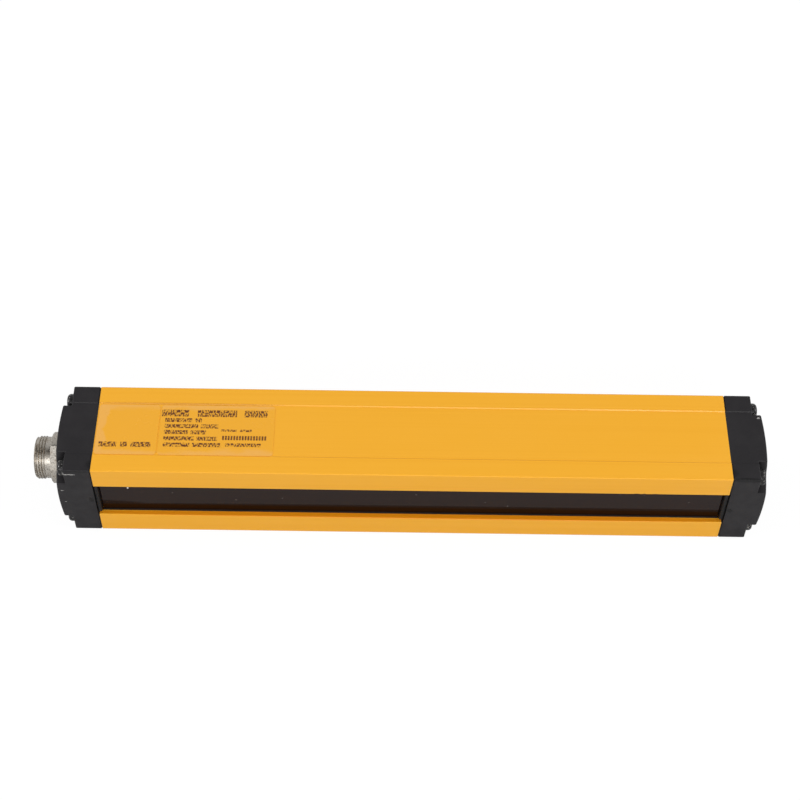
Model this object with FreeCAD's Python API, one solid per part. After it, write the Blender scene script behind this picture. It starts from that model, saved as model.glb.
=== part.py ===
"""Safety light curtain: one emitter bar with its receptacle, optics and board.

A square extrusion holds a dark window in a recess along its front and has a T-slot along
its back. A moulded cap closes each end, held by four screws, and one cap carries the
threaded receptacle. Behind the window stand eight infrared emitters, each with a lens.

Frame, in millimetres: X runs along the bar with the receptacle at -X, the window faces
-Y, and the labelled side faces +Z. The bar lies on its other broad side, with the origin
under the middle of its bounding box. Distances named "out" are counted away from an end
of the extrusion, along the bar.
"""

import FreeCAD, Part
import math
import os

Vector = FreeCAD.Vector

# ---------------------------------------------------------------- driving dimensions
# Extrusion
profile_length = 230.0
side = 38.0                    # the section is square
corner_radius = 0.5
wall = 2.2
panel_border = 7.3             # plain strip along each edge of a broad side
panel_depth = 0.3              # the middle of each broad side lies this much lower

# Window recess, from the front inwards
window_opening = 18.0
lip_thickness = 2.0
seal_thickness = 0.5
seal_show = 0.4                # the seal stands this far past the lip
pane_thickness = 2.5
pane_overlap = 2.0             # of the pane behind each lip
pane_play = 0.2                # between the edge of the pane and its groove
ledge_overlap = 2.5            # of the ledge behind the pane
front_web = 2.3                # metal between the pane groove and the chamber

# T-slot along the back
slot_opening = 8.0
slot_lip = 1.8
channel_width = 13.0
channel_depth = 5.0
channel_wall = 1.8
slot_edge_radius = 0.6

# Screws, in ports at the four corners
screw_diameter = 2.9
screw_length = 20.0            # under the head
screw_inset = 4.2              # from each outer side to the screw's axis
port_play = 0.05
port_wall = 1.6
screw_hole_play = 0.25         # around the shank in the cap
head_diameter = 6.0
head_height = 2.4
head_rim = 1.1                 # height of the head's straight side
head_top_diameter = 3.4

# End caps
gasket_thickness = 0.5
gasket_inset = 0.35
cap_flange = 9.6               # height of the full square part
cap_height = 14.6              # to the top of the dome, above the gasket
dome_radius = 120.0
notch = 8.5                    # square notch at each corner, down to the flange
notch_radius = 1.0
cap_roof = 5.4                 # over the pocket, under the receptacle's seat
cap_wall = 2.4                 # between the T-slot and the cap's pocket
pocket_front_wall = 5.8
pocket_half_height = 11.3
pocket_radius = 2.0
tongue_length = 1.2            # of the tongue that enters the window recess
tongue_play = 0.15
tongue_setback = 0.6           # of the tongue behind the bar's front

# Receptacle
seat_diameter = 20.4
seat_depth = 0.8               # below the top of the dome
washer_seal_thickness = 0.5
washer_seal_diameter = 18.0
shoulder_thickness = 3.0
shoulder_diameter = 19.0
shoulder_across_flats = 16.8
flat_angle = 53.0              # of the upper flat, above level
coupling_thread = 16.0
thread_length = 3.8
neck_length = 2.4
neck_diameter = 15.4
barrel_bore = 13.0
barrel_depth = 8.6             # of the open socket
key_width = 1.6
key_height = 0.9
body_play = 0.1                # around the body in the cap
body_tail = 1.2                # of the body past its nut
lock_washer_thickness = 0.6
lock_washer_diameter = 18.4
nut_across_flats = 19.0
nut_thickness = 3.0
nut_play = 0.05
insulator_length = 7.0
insulator_lip = 0.8
contact_count = 4
contact_circle = 7.6
contact_diameter = 1.6
contact_length = 6.0           # in front of the insulator
cup_diameter = 2.2
cup_length = 3.2               # of the solder cup behind the insulator

# Optics
beam_count = 8
beam_pitch = 20.0
lens_diameter = 12.0
lens_edge = 1.2
lens_height = 3.0
lens_play = 0.1
lens_seat_depth = 2.2
lens_seat_step = 0.8
carrier_half_height = 10.0
carrier_end = 12.0             # of the carrier past the outer beams
emitter_diameter = 5.0
emitter_height = 8.6
emitter_nose = 1.6             # height of its tapered nose
emitter_tip_diameter = 2.6
emitter_play = 0.3

# Board
board_thickness = 1.6
board_plane = 1.0              # its front face, measured from the middle of the bar
board_play = 0.15
board_edge_play = 0.4
board_setback = 9.0            # of the board inside each end of the extrusion
rail_height = 1.8
rail_thickness = 1.2
header_length = 8.0
header_height = 5.6
header_pitch = 2.5
header_border = 1.4
header_setback = 2.0           # from the end of the board
chip_side = 7.0
chip_height = 1.0
driver_length = 10.0
driver_width = 4.0
driver_height = 1.6
capacitor_diameter = 6.3
capacitor_height = 6.4
part_gap = 9.0                 # between neighbours on the back of the board

# Leads from the receptacle to the header
lead_diameter = 1.3
lead_sides = 8                 # flat sides that stand for the round insulation
lead_straight = 3.5            # out of the solder cup, and into the header

# Labels, on the upper broad side
label_thickness = 0.12
label_edge_gap = 0.4           # from the end of the extrusion
small_label_length = 22.2
label_gap = 0.5
data_label_length = 41.7
label_width = 22.2
label_radius = 1.2
label_shift = -0.2             # towards the window

# ---------------------------------------------------------------- derived places
half = side / 2
middle = side / 2              # height of the bar's axis
cap_reach = gasket_thickness + cap_height
flange_face = gasket_thickness + cap_flange
seat_face = cap_reach - seat_depth
shoulder_face = seat_face + washer_seal_thickness
neck_face = shoulder_face + shoulder_thickness
thread_face = neck_face + neck_length
barrel_face = thread_face + thread_length
pocket_face = seat_face - cap_roof
length_shift = (barrel_face - cap_reach) / 2
connector_end = length_shift - profile_length / 2
blind_end = length_shift + profile_length / 2

lip_back = lip_thickness - half
seal_back = lip_back + seal_thickness
pane_back = seal_back + pane_thickness
chamber_front = pane_back + front_web
pane_half = window_opening / 2 + pane_overlap
groove_half = pane_half + pane_play
port_half = pane_half - ledge_overlap
chamber_half = half - wall
channel_front = half - slot_lip - channel_depth
channel_wall_half = channel_width / 2 + channel_wall
screw_offset = half - screw_inset
board_back = board_plane + board_thickness
board_start = connector_end + board_setback
board_end = blind_end - board_setback
panel_height = side - panel_depth


# ---------------------------------------------------------------- making shapes
def rounded_wire(corners):
    """Close a wire through (y, height, radius) corners, each rounded by its radius."""
    count = len(corners)
    arcs = []
    for index, (y, height, radius) in enumerate(corners):
        corner = Vector(0, y, height)
        if radius == 0:
            arcs.append((corner, corner, corner))
            continue
        before = Vector(0, *corners[index - 1][:2]) - corner
        after = Vector(0, *corners[(index + 1) % count][:2]) - corner
        half_angle = before.getAngle(after) / 2
        before.normalize()
        after.normalize()
        reach = radius / math.tan(half_angle)
        inward = (before + after).normalize()
        crown = corner + inward * (radius / math.sin(half_angle) - radius)
        arcs.append((corner + before * reach, crown, corner + after * reach))
    edges = []
    for index, (start, crown, end) in enumerate(arcs):
        if (start - end).Length > 0:
            edges.append(Part.Arc(start, crown, end).toShape())
        following = arcs[(index + 1) % count][0]
        edges.append(Part.LineSegment(end, following).toShape())
    return Part.Wire(edges)


def prism(corners, start, end):
    """Extrude an outline, whose heights count from the bar's axis, from start to end."""
    raised = [(y, middle + height, radius) for y, height, radius in corners]
    face = Part.Face(rounded_wire(raised))
    face.translate(Vector(start, 0, 0))
    return face.extrude(Vector(end - start, 0, 0))


def mirrored(upper):
    """Complete an outline from its upper half, which runs from back to back."""
    lower = [(y, -height, radius) for y, height, radius in reversed(upper)]
    return upper + lower


def rectangle(y_front, y_back, half_height, radius=0.0):
    """Give the outline of a rectangle that is centred on the bar's axis in height."""
    return mirrored([(y_back, half_height, radius), (y_front, half_height, radius)])


def rod(diameter, start, end, y=0.0, height=0.0):
    """Make a cylinder along X, at a place measured from the bar's axis."""
    base = Vector(start, y, middle + height)
    return Part.makeCylinder(diameter / 2, end - start, base, Vector(1, 0, 0))


def turned(points, y=0.0, height=0.0, axis=Vector(1, 0, 0)):
    """Revolve (distance along the axis, radius) points about an axis through a place."""
    radial = Vector(0, 0, 1)
    vertices = [axis * along + radial * radius for along, radius in points]
    face = Part.Face(Part.makePolygon(vertices + vertices[:1]))
    solid = face.revolve(Vector(0, 0, 0), axis, 360)
    solid.translate(Vector(0, y, middle + height))
    return solid


def to_connector_end(shape):
    """Move a shape that is modelled by its distance out to the receptacle's end."""
    flipped = shape.mirror(Vector(0, 0, 0), Vector(1, 0, 0))
    flipped.translate(Vector(connector_end, 0, 0))
    return flipped


def to_blind_end(shape):
    """Move a shape that is modelled by its distance out to the plain end."""
    moved = shape.copy()
    moved.translate(Vector(blind_end, 0, 0))
    return moved


def screw_places():
    """List the four screw axes, as offsets from the bar's axis."""
    offset = screw_offset
    return [(-offset, offset), (offset, offset), (offset, -offset), (-offset, -offset)]


def beam_places():
    """List the beams' places along the bar."""
    first = (connector_end + blind_end - (beam_count - 1) * beam_pitch) / 2
    return [first + index * beam_pitch for index in range(beam_count)]


# ---------------------------------------------------------------- extrusion
def broad_side():
    """Give the outline over the upper broad side, from the back edge to the front."""
    border = half - panel_border
    floor = border - panel_depth
    return [
        (half, half, corner_radius),
        (border, half, 0),
        (floor, half - panel_depth, 0),
        (-floor, half - panel_depth, 0),
        (-border, half, 0),
        (-half, half, corner_radius),
    ]


def slot_side():
    """Give the outline of the upper half of the T-slot, from its floor outwards."""
    lip_front = half - slot_lip
    return [
        (channel_front, channel_width / 2, slot_edge_radius),
        (lip_front, channel_width / 2, slot_edge_radius),
        (lip_front, slot_opening / 2, 0),
        (half, slot_opening / 2, slot_edge_radius),
    ]


def window_side():
    """Give the outline of the upper half of the window recess, from the front inwards."""
    return [
        (-half, window_opening / 2, slot_edge_radius),
        (lip_back, window_opening / 2, 0),
        (lip_back, groove_half, 0),
        (pane_back, groove_half, 0),
        (pane_back, port_half, 0),
        (chamber_front, port_half, 0),
    ]


def rail(front_face):
    """Give the outline of one board rail that starts at the given face."""
    back_face = front_face + rail_thickness
    return [
        (front_face, chamber_half, 0),
        (front_face, chamber_half - rail_height, 0),
        (back_face, chamber_half - rail_height, 0),
        (back_face, chamber_half, 0),
    ]


def chamber_side(with_rails):
    """Give the outline of the upper half of the chamber, from the front to the back."""
    rails = rail(board_plane - board_play - rail_thickness) + rail(board_back + board_play)
    return [
        (chamber_front, chamber_half, 0),
        *(rails if with_rails else []),
        (chamber_half, chamber_half, 0),
        (chamber_half, channel_wall_half, 0),
        (channel_front - channel_wall, channel_wall_half, slot_edge_radius),
    ]


def housing_profile():
    """Extrude the bar with its four screw ports, which are closed bosses at the back."""
    upper = slot_side() + broad_side() + window_side() + chamber_side(with_rails=True)
    section = prism(mirrored(upper), connector_end, blind_end)
    boss = screw_diameter + 2 * (port_play + port_wall)
    bosses = [rod(boss, connector_end, blind_end, y, z) for y, z in screw_places() if y > 0]
    port = screw_diameter + 2 * port_play
    ports = [rod(port, connector_end, blind_end, y, z) for y, z in screw_places()]
    return section.fuse(bosses).removeSplitter().cut(ports)


# ---------------------------------------------------------------- window
def window_ends():
    """Give the two ends of the strips that lie between the tongues of the caps."""
    setback = tongue_length + tongue_play
    return connector_end + setback, blind_end - setback


def window_pane():
    start, end = window_ends()
    return prism(rectangle(seal_back, pane_back, pane_half), start, end)


def window_seal(upper):
    """Make the strip between a lip and the pane, above or below the opening."""
    start, end = window_ends()
    inner = window_opening / 2 - seal_show
    sign = 1 if upper else -1
    corners = [(lip_back, inner), (seal_back, inner), (seal_back, pane_half), (lip_back, pane_half)]
    return prism([(y, sign * height, 0) for y, height in corners], start, end)


# ---------------------------------------------------------------- end caps
def cap_outline():
    """Give the cap's outline: the bar's own, with a plain front and no chamber."""
    return mirrored(slot_side() + broad_side())


def cap_corner_notches():
    """Make the four blocks that leave the notches above the flange."""
    near = half - notch
    far = half + notch
    notches = []
    for y, z in screw_places():
        side_y = math.copysign(1, y)
        side_z = math.copysign(1, z)
        corners = [(near, near, notch_radius), (far, near, 0), (far, far, 0), (near, far, 0)]
        turned_corners = [(side_y * a, side_z * b, radius) for a, b, radius in corners]
        notches.append(prism(turned_corners, flange_face, cap_reach + notch))
    return notches


def cap_shell():
    """Make the form that both caps share, by its distance out from the extrusion."""
    body = prism(cap_outline(), gasket_thickness, cap_reach)
    body = body.cut(cap_corner_notches())
    ball = Part.makeSphere(dome_radius)
    ball.rotate(Vector(0, 0, 0), Vector(0, 0, 1), 180)
    ball.translate(Vector(cap_reach - dome_radius, 0, middle))
    body = body.common(ball)
    tongue_half = port_half - tongue_play
    tongue = rectangle(tongue_setback - half, pane_back, tongue_half)
    body = body.fuse(prism(tongue, -tongue_length, gasket_thickness))
    pocket_back = channel_front - cap_wall
    pocket = rectangle(pocket_front_wall - half, pocket_back, pocket_half_height, pocket_radius)
    body = body.cut(prism(pocket, gasket_thickness, pocket_face))
    hole = screw_diameter + 2 * screw_hole_play
    holes = [rod(hole, 0, flange_face, y, z) for y, z in screw_places()]
    return body.cut(holes)


def connector_end_cap():
    shell = cap_shell()
    seat = rod(seat_diameter, seat_face, cap_reach + 1)
    bore = rod(coupling_thread + 2 * body_play, pocket_face, seat_face)
    return to_connector_end(shell.cut([seat, bore]))


def blind_end_cap():
    return to_blind_end(cap_shell())


def end_gasket():
    """Cut the gasket to the extrusion's end face, a little inside its outline."""
    upper = slot_side() + broad_side() + window_side() + chamber_side(with_rails=False)
    face = [(y, height, 0) for y, height, radius in mirrored(upper)]
    inner = half - gasket_inset
    blank = prism(rectangle(-inner, inner, inner), 0, gasket_thickness)
    hole = screw_diameter + 2 * screw_hole_play
    corner = hole + 2 * port_wall
    rings = [rod(corner, 0, gasket_thickness, y, z) for y, z in screw_places() if y > 0]
    holes = [rod(hole, 0, gasket_thickness, y, z) for y, z in screw_places()]
    sheet = prism(face, 0, gasket_thickness).fuse(rings)
    return sheet.common(blank).removeSplitter().cut(holes)


def end_screw(y, z):
    """Turn one pan-head screw, seated on the cap's flange."""
    head_top = flange_face + head_height
    return turned([
        (flange_face - screw_length, 0),
        (flange_face - screw_length, screw_diameter / 2),
        (flange_face, screw_diameter / 2),
        (flange_face, head_diameter / 2),
        (flange_face + head_rim, head_diameter / 2),
        (head_top, head_top_diameter / 2),
        (head_top, 0),
    ], y, z)


# ---------------------------------------------------------------- receptacle
insulator_front = barrel_face - barrel_depth
insulator_back = insulator_front - insulator_length
nut_back = pocket_face - lock_washer_thickness - nut_thickness
body_back = nut_back - body_tail


def receptacle_shell():
    """Turn the receptacle's body, then mill its flats and leave the key in its socket."""
    barrel = coupling_thread / 2
    body = turned([
        (body_back, barrel_bore / 2),
        (body_back, barrel),
        (shoulder_face, barrel),
        (shoulder_face, shoulder_diameter / 2),
        (neck_face, shoulder_diameter / 2),
        (neck_face, neck_diameter / 2),
        (thread_face, neck_diameter / 2),
        (thread_face, barrel),
        (barrel_face - insulator_lip / 2, barrel),
        (barrel_face, barrel - insulator_lip / 2),
        (barrel_face, barrel_bore / 2),
    ])
    for side_sign in (-1, 1):
        block = Part.makeBox(shoulder_thickness, shoulder_diameter, shoulder_diameter)
        block.translate(Vector(shoulder_face, -shoulder_diameter / 2, shoulder_across_flats / 2))
        block.rotate(Vector(0, 0, 0), Vector(1, 0, 0), 90 - flat_angle + 90 * (1 - side_sign))
        block.translate(Vector(0, 0, middle))
        body = body.cut(block)
    key_top = middle + barrel_bore / 2
    key_corner = Vector(insulator_front, -key_width / 2, key_top - key_height)
    key = Part.makeBox(barrel_depth - 1, key_width, key_height + 0.4, key_corner)
    return to_connector_end(body.fuse(key))


def contact_places():
    """List the contacts' offsets from the receptacle's axis."""
    radius = contact_circle / 2
    step = 2 * math.pi / contact_count
    angles = [math.pi / 2 + step * (index + 0.5) for index in range(contact_count)]
    return [(radius * math.cos(angle), radius * math.sin(angle)) for angle in angles]


def receptacle_insulator():
    body = rod(barrel_bore - 2 * body_play, insulator_back, insulator_front)
    holes = [rod(contact_diameter, insulator_back, insulator_front, y, z)
             for y, z in contact_places()]
    return to_connector_end(body.cut(holes))


def contact_pin(y, z):
    """Turn one contact: solder cup at the back, straight pin in front."""
    cup_back = insulator_back - cup_length
    pin = turned([
        (cup_back, 0),
        (cup_back, cup_diameter / 2),
        (insulator_back, cup_diameter / 2),
        (insulator_back, contact_diameter / 2),
        (insulator_front + contact_length, contact_diameter / 2),
        (insulator_front + contact_length, 0),
    ], y, z)
    return to_connector_end(pin)


def washer_seal():
    bore = coupling_thread + 2 * body_play
    ring = rod(washer_seal_diameter, seat_face, shoulder_face)
    return to_connector_end(ring.cut(rod(bore, seat_face, shoulder_face)))


def lock_washer():
    start = pocket_face - lock_washer_thickness
    ring = rod(lock_washer_diameter, start, pocket_face)
    bore = rod(coupling_thread + 2 * body_play, start, pocket_face)
    return to_connector_end(ring.cut(bore))


def receptacle_nut():
    """Make the hexagon nut inside the cap, with flats towards the window and the slot."""
    radius = nut_across_flats / math.sqrt(3)
    angles = [math.radians(30 + 60 * index) for index in range(6)]
    corners = [(radius * math.cos(angle), radius * math.sin(angle), 0) for angle in angles]
    start = nut_back
    end = nut_back + nut_thickness
    blank = prism(corners, start, end)
    return to_connector_end(blank.cut(rod(coupling_thread + 2 * nut_play, start, end)))


# ---------------------------------------------------------------- optics
def along_beam(points, x):
    """Revolve (distance from the middle, radius) points about the beam at x."""
    solid = turned(points, axis=Vector(0, 1, 0))
    solid.translate(Vector(x, 0, 0))
    return solid


def lens_carrier():
    """Mould the strip that holds the lenses, with one seat and tapered bore a beam."""
    places = beam_places()
    start = places[0] - carrier_end
    end = places[-1] + carrier_end
    body = prism(rectangle(chamber_front, board_plane, carrier_half_height), start, end)
    seat_radius = lens_diameter / 2 + lens_play
    seat = chamber_front + lens_seat_depth
    bores = [along_beam([
        (board_plane, 0),
        (board_plane, emitter_diameter / 2 + emitter_play),
        (seat, seat_radius - lens_seat_step),
        (seat, seat_radius),
        (chamber_front, seat_radius),
        (chamber_front, 0),
    ], x) for x in places]
    return body.cut(bores)


def lens(x):
    """Make one plano-convex lens, flat against its seat."""
    flat = chamber_front + lens_seat_depth
    rise = lens_height - lens_edge
    radius = lens_diameter / 2
    crown_radius = (radius ** 2 + rise ** 2) / (2 * rise)
    blank = Part.makeCylinder(radius, lens_height, Vector(x, flat, middle), Vector(0, -1, 0))
    centre = Vector(x, flat - lens_height + crown_radius, middle)
    return blank.common(Part.makeSphere(crown_radius, centre))


def emitter(x):
    """Make one infrared emitter, a cylinder with a tapered nose, on the board."""
    nose = board_plane - emitter_height + emitter_nose
    return along_beam([
        (board_plane, 0),
        (board_plane, emitter_diameter / 2),
        (nose, emitter_diameter / 2),
        (board_plane - emitter_height, emitter_tip_diameter / 2),
        (board_plane - emitter_height, 0),
    ], x)


# ---------------------------------------------------------------- board
def emitter_board():
    board_half = chamber_half - board_edge_play
    return prism(rectangle(board_plane, board_back, board_half), board_start, board_end)


def header_places():
    """List the heights of the header's ways, from the bar's axis."""
    return [header_pitch * (index - (contact_count - 1) / 2) for index in range(contact_count)]


def board_header():
    """Make the header that the leads run into from the receptacle's end."""
    start = board_start + header_setback
    half_height = header_pitch * (contact_count - 1) / 2 + header_border
    outline = rectangle(board_back, board_back + header_height, half_height)
    return prism(outline, start, start + header_length)


def board_block(start, length, width, height):
    """Make one flat component on the back of the board."""
    return prism(rectangle(board_back, board_back + height, width / 2), start, start + length)


def components():
    """Lay out the components behind the header, one gap apart."""
    place = board_start + header_setback + header_length + part_gap
    shapes = {"microcontroller": board_block(place, chip_side, chip_side, chip_height)}
    place += chip_side + part_gap
    for index in (1, 2):
        name = f"beam_driver_{index}"
        shapes[name] = board_block(place, driver_length, driver_width, driver_height)
        place += driver_length + part_gap
    base = Vector(place + capacitor_diameter / 2, board_back, middle)
    shapes["capacitor"] = Part.makeCylinder(
        capacitor_diameter / 2, capacitor_height, base, Vector(0, 1, 0))
    return shapes


def lead_wire(contact, way_height):
    """Sweep one lead from its solder cup to its way in the header, in one smooth S."""
    cup_back = connector_end - (insulator_back - cup_length)
    start = Vector(cup_back, contact[0], middle + contact[1])
    end = Vector(board_start + header_setback, board_back + header_height / 2,
                 middle + way_height)
    straight = Vector(lead_straight, 0, 0)
    path = smooth_path([start, start + straight, end - straight, end])
    turns = [2 * math.pi * index / lead_sides for index in range(lead_sides + 1)]
    radius = lead_diameter / 2
    ring = [start + Vector(0, radius * math.cos(turn), radius * math.sin(turn)) for turn in turns]
    return path.makePipeShell([Part.makePolygon(ring)], True, False)


def smooth_path(points):
    """Join points by straight runs, with a tangent arc at each inner point."""
    edges = []
    place = points[0]
    for before, corner, after in zip(points, points[1:], points[2:]):
        back = before - corner
        forth = after - corner
        reach = 0.45 * min(back.Length, forth.Length)
        half_angle = back.getAngle(forth) / 2
        back.normalize()
        forth.normalize()
        radius = reach * math.tan(half_angle)
        inward = (back + forth).normalize()
        crown = corner + inward * (radius / math.sin(half_angle) - radius)
        start = corner + back * reach
        end = corner + forth * reach
        edges.append(Part.LineSegment(place, start).toShape())
        edges.append(Part.Arc(start, crown, end).toShape())
        place = end
    edges.append(Part.LineSegment(place, points[-1]).toShape())
    return Part.Wire(edges)


# ---------------------------------------------------------------- labels
def label(start, length):
    """Lay one rounded film on the upper panel."""
    blank = Part.makeBox(length, label_width, label_thickness,
                         Vector(start, label_shift - label_width / 2, panel_height))
    upright = [edge for edge in blank.Edges if edge.BoundBox.ZLength > label_thickness / 2]
    return blank.makeFillet(label_radius, upright)


# ---------------------------------------------------------------- assembly
def build():
    """Make every node of the light curtain, by name."""
    nodes = {
        "housing_profile": housing_profile(),
        "window_pane": window_pane(),
        "window_seal_upper": window_seal(upper=True),
        "window_seal_lower": window_seal(upper=False),
        "connector_end_cap": connector_end_cap(),
        "blind_end_cap": blind_end_cap(),
        "connector_end_gasket": to_connector_end(end_gasket()),
        "blind_end_gasket": to_blind_end(end_gasket()),
        "receptacle_shell": receptacle_shell(),
        "receptacle_insulator": receptacle_insulator(),
        "receptacle_washer_seal": washer_seal(),
        "receptacle_lock_washer": lock_washer(),
        "receptacle_nut": receptacle_nut(),
        "lens_carrier": lens_carrier(),
        "emitter_board": emitter_board(),
        "board_header": board_header(),
        **components(),
    }
    for index, place in enumerate(screw_places(), start=1):
        nodes[f"connector_end_screw_{index}"] = to_connector_end(end_screw(*place))
        nodes[f"blind_end_screw_{index}"] = to_blind_end(end_screw(*place))
    leads = zip(sorted(contact_places(), key=lambda place: place[1]), header_places())
    for index, (contact, height) in enumerate(leads, start=1):
        nodes[f"contact_pin_{index}"] = contact_pin(*contact)
        nodes[f"lead_wire_{index}"] = lead_wire(contact, height)
    for index, x in enumerate(beam_places(), start=1):
        nodes[f"lens_{index}"] = lens(x)
        nodes[f"emitter_{index}"] = emitter(x)
    small_start = connector_end + label_edge_gap
    nodes["small_label"] = label(small_start, small_label_length)
    data_start = small_start + small_label_length + label_gap
    nodes["data_label"] = label(data_start, data_label_length)
    return nodes


def single_solid(shape):
    """Take the one solid out of a shape that a boolean step returned as a compound."""
    return shape.Solids[0] if len(shape.Solids) == 1 else shape


os.makedirs("parts", exist_ok=True)
for node_name, node_shape in build().items():
    single_solid(node_shape).exportStep(f"parts/{node_name}.step")
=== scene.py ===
import math

import bmesh
import bpy
from mathutils import Matrix, Vector


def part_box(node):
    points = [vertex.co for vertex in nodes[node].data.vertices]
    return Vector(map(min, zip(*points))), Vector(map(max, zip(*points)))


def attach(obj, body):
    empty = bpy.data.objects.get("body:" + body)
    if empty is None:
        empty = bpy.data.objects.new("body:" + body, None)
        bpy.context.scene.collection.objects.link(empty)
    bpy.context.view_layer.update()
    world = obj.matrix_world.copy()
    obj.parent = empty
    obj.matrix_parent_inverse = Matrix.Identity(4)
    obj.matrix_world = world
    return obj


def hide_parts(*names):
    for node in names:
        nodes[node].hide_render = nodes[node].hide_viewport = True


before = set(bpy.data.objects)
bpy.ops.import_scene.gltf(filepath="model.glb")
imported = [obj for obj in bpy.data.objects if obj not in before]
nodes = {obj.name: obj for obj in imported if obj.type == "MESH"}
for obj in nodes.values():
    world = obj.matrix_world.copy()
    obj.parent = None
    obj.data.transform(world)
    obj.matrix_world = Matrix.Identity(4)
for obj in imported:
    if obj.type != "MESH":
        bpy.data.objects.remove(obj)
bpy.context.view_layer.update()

# ------------------------------------------------------------------ the bar
# One length of square aluminium extrusion, with a window recess along its front and a T-slot
# along its back. It is sawn to length, and powder coated in a satin yellow that just shows the
# die lines. The borders of each broad side stand a little above its middle panel.
mm = 0.001
coat_yellow = (0.890, 0.420, 0.021)
coat_pale = (0.900, 0.435, 0.032)
coat_deep = (0.850, 0.380, 0.014)
coat_recess_painted_shade = (0.860, 0.290, 0.006)
coat_step_painted_shade = (0.680, 0.300, 0.014)
chip_brown = (0.120, 0.045, 0.006)
chips = ((86.0, 1.1), (88.6, 0.7), (92.8, 1.3))
section_half = 19.0
panel_edge = 11.7
panel_depth = 0.3
corner_round = 0.5
edge_round = 0.6
port_offset = 14.8
port_radius = 1.5
bar_low, bar_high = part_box("housing_profile")
bar_axis = (bar_low.z + bar_high.z) / 2
bar_length = bar_high.x - bar_low.x


def start_finish(name, colour, roughness, metallic=0.0):
    """Start a finish with one shader in a plain colour."""
    finish = bpy.data.materials.new(name)
    finish.use_nodes = True
    shader = finish.node_tree.nodes["Principled BSDF"]
    shader.inputs["Base Color"].default_value = (*colour, 1)
    shader.inputs["Roughness"].default_value = roughness
    shader.inputs["Metallic"].default_value = metallic
    return finish


def shader_of(finish):
    return finish.node_tree.nodes["Principled BSDF"]


def own_place(finish, stretch, start=(0, 0, 0)):
    """Give the piece's own coordinates, moved to a start and divided by a stretch."""
    tree = finish.node_tree
    place = tree.nodes.new("ShaderNodeTexCoord")
    fitted = tree.nodes.new("ShaderNodeMapping")
    fitted.inputs["Scale"].default_value = [1 / length for length in stretch]
    fitted.inputs["Location"].default_value = [-a / b for a, b in zip(start, stretch)]
    tree.links.new(place.outputs["Object"], fitted.inputs["Vector"])
    return fitted.outputs["Vector"]


def cloud(finish, size, along=1.0, detail=2.0):
    """Give a cloudy pattern in patches of one size, drawn out along the bar."""
    tree = finish.node_tree
    noise = tree.nodes.new("ShaderNodeTexNoise")
    noise.inputs["Scale"].default_value = 1.0
    noise.inputs["Detail"].default_value = detail
    tree.links.new(own_place(finish, (size * along, size, size)), noise.inputs["Vector"])
    return noise.outputs[0]


def fitted_range(finish, pattern, low, high, start, end):
    """Turn a pattern's values from low to high into values from start to end."""
    tree = finish.node_tree
    ranged = tree.nodes.new("ShaderNodeMapRange")
    tree.links.new(pattern, ranged.inputs["Value"])
    ranged.inputs["From Min"].default_value = low
    ranged.inputs["From Max"].default_value = high
    ranged.inputs["To Min"].default_value = start
    ranged.inputs["To Max"].default_value = end
    return ranged.outputs["Result"]


def combined(finish, operation, first, second):
    """Combine two patterns, or a pattern and a number."""
    tree = finish.node_tree
    math_node = tree.nodes.new("ShaderNodeMath")
    math_node.operation = operation
    tree.links.new(first, math_node.inputs[0])
    if isinstance(second, float):
        math_node.inputs[1].default_value = second
    else:
        tree.links.new(second, math_node.inputs[1])
    return math_node.outputs[0]


def stain(finish, amount, colour):
    """Lay a colour over the finish's own, as far as an amount says."""
    tree = finish.node_tree
    base = shader_of(finish).inputs["Base Color"]
    mix = tree.nodes.new("ShaderNodeMix")
    mix.data_type = "RGBA"
    mix.inputs[7].default_value = (*colour, 1)
    tree.links.new(amount, mix.inputs[0])
    if base.is_linked:
        tree.links.new(base.links[0].from_socket, mix.inputs[6])
    else:
        mix.inputs[6].default_value = base.default_value
    tree.links.new(mix.outputs[2], base)


def gloss_change(finish, pattern, low, high, smooth, rough):
    """Let the roughness follow a pattern."""
    changed = fitted_range(finish, pattern, low, high, smooth, rough)
    finish.node_tree.links.new(changed, shader_of(finish).inputs["Roughness"])


def relief(finish, pattern, depth):
    """Raise the surface by a pattern, over any relief that it has already."""
    tree = finish.node_tree
    normal = shader_of(finish).inputs["Normal"]
    bump = tree.nodes.new("ShaderNodeBump")
    bump.inputs["Distance"].default_value = depth
    tree.links.new(pattern, bump.inputs["Height"])
    if normal.is_linked:
        tree.links.new(normal.links[0].from_socket, bump.inputs["Normal"])
    tree.links.new(bump.outputs["Normal"], normal)


def mark(finish, centre, reach, ragged=0.6, grain=0.3):
    """Give 1 inside a ragged oval about a place in millimetres, and 0 outside it."""
    tree = finish.node_tree
    place = own_place(finish, [a * mm for a in reach], [a * mm for a in centre])
    length = tree.nodes.new("ShaderNodeVectorMath")
    length.operation = "LENGTH"
    tree.links.new(place, length.inputs[0])
    rough_edge = fitted_range(finish, cloud(finish, grain * mm), 0.3, 0.7, -ragged, ragged)
    distance = combined(finish, "ADD", length.outputs["Value"], rough_edge)
    return fitted_range(finish, distance, 0.9, 1.1, 1.0, 0.0)


def draw_section(mesh, upper_corners, place):
    """Draw an outline that is alike above and below the bar's axis, from the corners
    (distance back, height, radius) of its upper half, and fill it."""
    lower_corners = [(back, -height, radius) for back, height, radius in upper_corners[::-1]]
    corners = upper_corners + lower_corners
    points = [mesh.verts.new((place, y * mm, bar_axis + z * mm)) for y, z, _ in corners]
    mesh.faces.new(points)
    for radius in sorted({corner[2] for corner in corners} - {0}):
        rounded = [point for point, corner in zip(points, corners) if corner[2] == radius]
        bmesh.ops.bevel(mesh, geom=rounded, offset=radius * mm, offset_type="ABSOLUTE",
                        affect="VERTICES", segments=5, profile=0.5, material=-1)


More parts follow.
